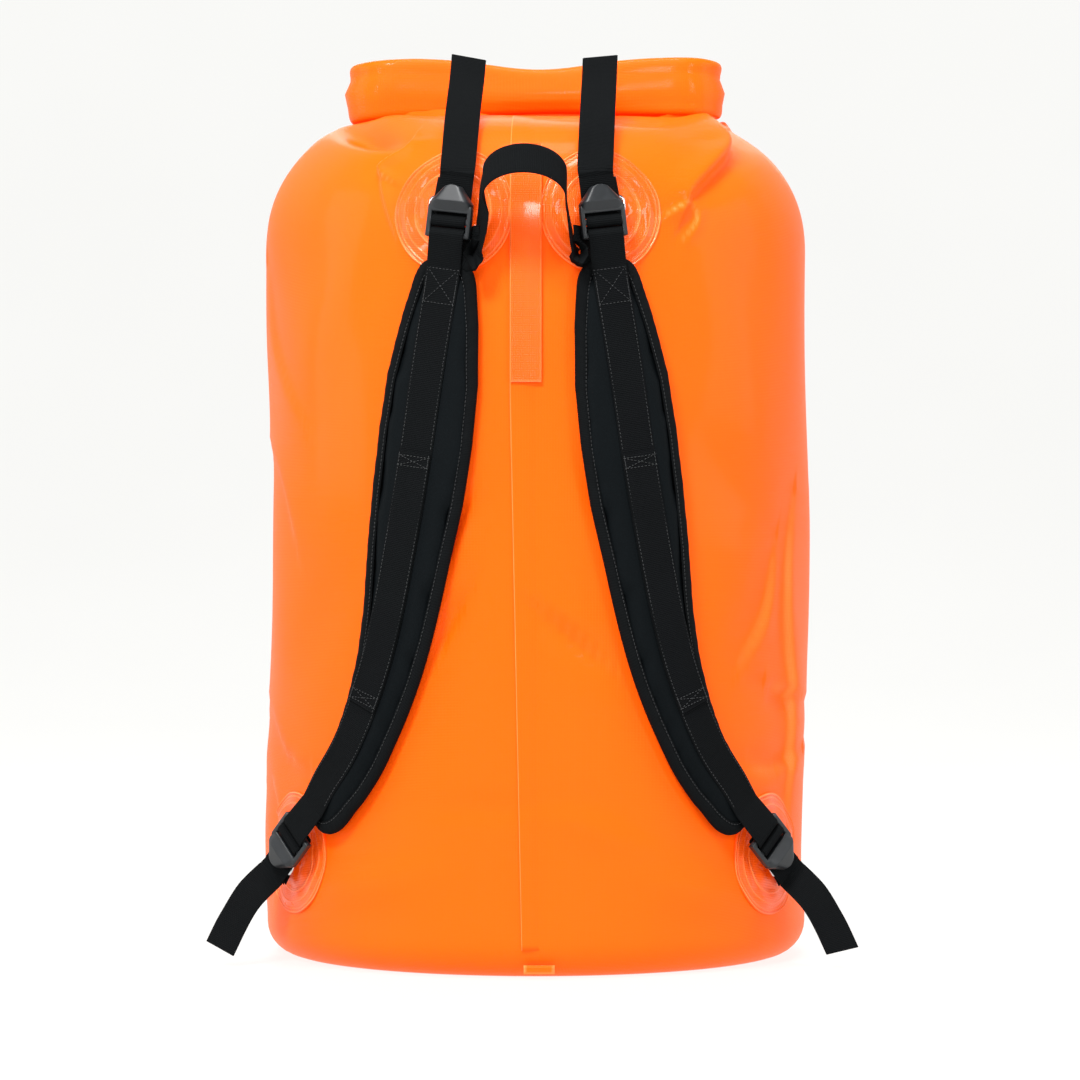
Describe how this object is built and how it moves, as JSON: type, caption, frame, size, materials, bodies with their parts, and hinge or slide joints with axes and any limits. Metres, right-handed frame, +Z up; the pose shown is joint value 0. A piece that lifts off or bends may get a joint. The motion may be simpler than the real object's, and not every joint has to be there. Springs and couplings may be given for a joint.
{
  "type": "roll-top dry bag",
  "caption": "Large roll-top dry bag rucksack in welded tarpaulin, with padded shoulder straps, strap locks, rings, a haul handle and a side-release closure buckle.",
  "frame": {"origin": "centre of the flat round base, on the bag's axis, at the height of the floor it stands on", "axes": "+Z up along the bag's axis, harness side facing -Y, the strap for the wearer's left shoulder on +X"},
  "size_m": [0.4602, 0.4635, 0.6526],
  "materials": {
    "tarpaulin": "glossy coated weave",
    "webbing": "ribbed polyester webbing",
    "binding": "woven edge binding",
    "padding": "fine woven nylon over foam",
    "moulded_plastic": "satin moulded",
    "stiffener": "plain",
    "ring_steel": "polished wire"
  },
  "bodies": {
    "root": {"body_tube": "tarpaulin", "base_panel": "tarpaulin", "back_seam_strip": "tarpaulin", "roll_top": "tarpaulin", "upper_patch_left": "tarpaulin", "upper_patch_right": "tarpaulin", "lower_patch_left": "tarpaulin", "lower_patch_right": "tarpaulin", "haul_handle_root_left": "webbing", "haul_handle_root_right": "webbing", "roll_end_tab_left": "webbing", "roll_end_tab_right": "webbing", "upper_anchor_tab_left": "webbing", "upper_anchor_tab_right": "webbing", "lower_anchor_tab_left": "webbing", "lower_anchor_tab_right": "webbing", "upper_anchor_run_left": "webbing", "upper_anchor_run_right": "webbing", "lower_anchor_run_left": "webbing", "lower_anchor_run_right": "webbing", "upper_tail_webbing_left": "webbing", "upper_tail_webbing_right": "webbing", "closure_buckle_socket": "moulded_plastic", "closure_buckle_plug": "moulded_plastic", "upper_d_ring_left": "ring_steel", "upper_d_ring_right": "ring_steel", "lower_d_ring_left": "ring_steel", "lower_d_ring_right": "ring_steel", "mouth_stiffener": "stiffener"},
    "haul_handle": {"haul_handle": "webbing"},
    "strap_left": {"shoulder_pad_left": "padding", "pad_binding_left": "binding", "pad_webbing_left": "webbing", "lower_tail_webbing_left": "webbing"},
    "upper_lock_left": {"upper_ladder_lock_left": "moulded_plastic", "upper_lock_webbing_left": "webbing"},
    "lower_lock_left": {"lower_ladder_lock_left": "moulded_plastic", "lower_lock_webbing_left": "webbing"},
    "strap_right": {"shoulder_pad_right": "padding", "pad_binding_right": "binding", "pad_webbing_right": "webbing", "lower_tail_webbing_right": "webbing"},
    "upper_lock_right": {"upper_ladder_lock_right": "moulded_plastic", "upper_lock_webbing_right": "webbing"},
    "lower_lock_right": {"lower_ladder_lock_right": "moulded_plastic", "lower_lock_webbing_right": "webbing"},
    "buckle_prong_upper": {"buckle_prong_upper": "moulded_plastic"},
    "buckle_prong_lower": {"buckle_prong_lower": "moulded_plastic"}
  },
  "joints": [
    {"name": "haul_handle_swing", "type": "hinge", "parent": "root", "child": "haul_handle", "pos_m": [0, -0.2115, 0.5], "axis": [1, 0, 0], "range_deg": [-10, 130]},
    {"name": "strap_swing_left", "type": "hinge", "parent": "root", "child": "strap_left", "pos_m": [-0.05353, -0.20472, 0.5095], "axis": [-0.958, 0.2595, 0.1219], "range_deg": [0, 75]},
    {"name": "upper_lock_tilt_left", "type": "hinge", "parent": "root", "child": "upper_lock_left", "pos_m": [-0.05353, -0.20472, 0.5095], "axis": [0.958, -0.2595, -0.1219], "range_deg": [0, 30]},
    {"name": "lower_lock_tilt_left", "type": "hinge", "parent": "strap_left", "child": "lower_lock_left", "pos_m": [-0.16346, -0.13437, 0.097], "axis": [-0.5255, 0.4731, 0.7071], "range_deg": [0, 30]},
    {"name": "strap_swing_right", "type": "hinge", "parent": "root", "child": "strap_right", "pos_m": [0.05353, -0.20472, 0.5095], "axis": [-0.958, -0.2595, -0.1219], "range_deg": [0, 75]},
    {"name": "upper_lock_tilt_right", "type": "hinge", "parent": "root", "child": "upper_lock_right", "pos_m": [0.05353, -0.20472, 0.5095], "axis": [0.958, 0.2595, 0.1219], "range_deg": [0, 30]},
    {"name": "lower_lock_tilt_right", "type": "hinge", "parent": "strap_right", "child": "lower_lock_right", "pos_m": [0.16346, -0.13437, 0.097], "axis": [-0.5255, -0.4731, -0.7071], "range_deg": [0, 30]},
    {"name": "buckle_prong_upper_squeeze", "type": "hinge", "parent": "root", "child": "buckle_prong_upper", "pos_m": [0.004, 0.10261, 0.636], "axis": [0, -1, 0], "range_deg": [0, 8], "stiffness_Nm_per_rad": 0.3},
    {"name": "buckle_prong_lower_squeeze", "type": "hinge", "parent": "root", "child": "buckle_prong_lower", "pos_m": [0.004, 0.10261, 0.617], "axis": [0, 1, 0], "range_deg": [0, 8], "stiffness_Nm_per_rad": 0.3}
  ]
}
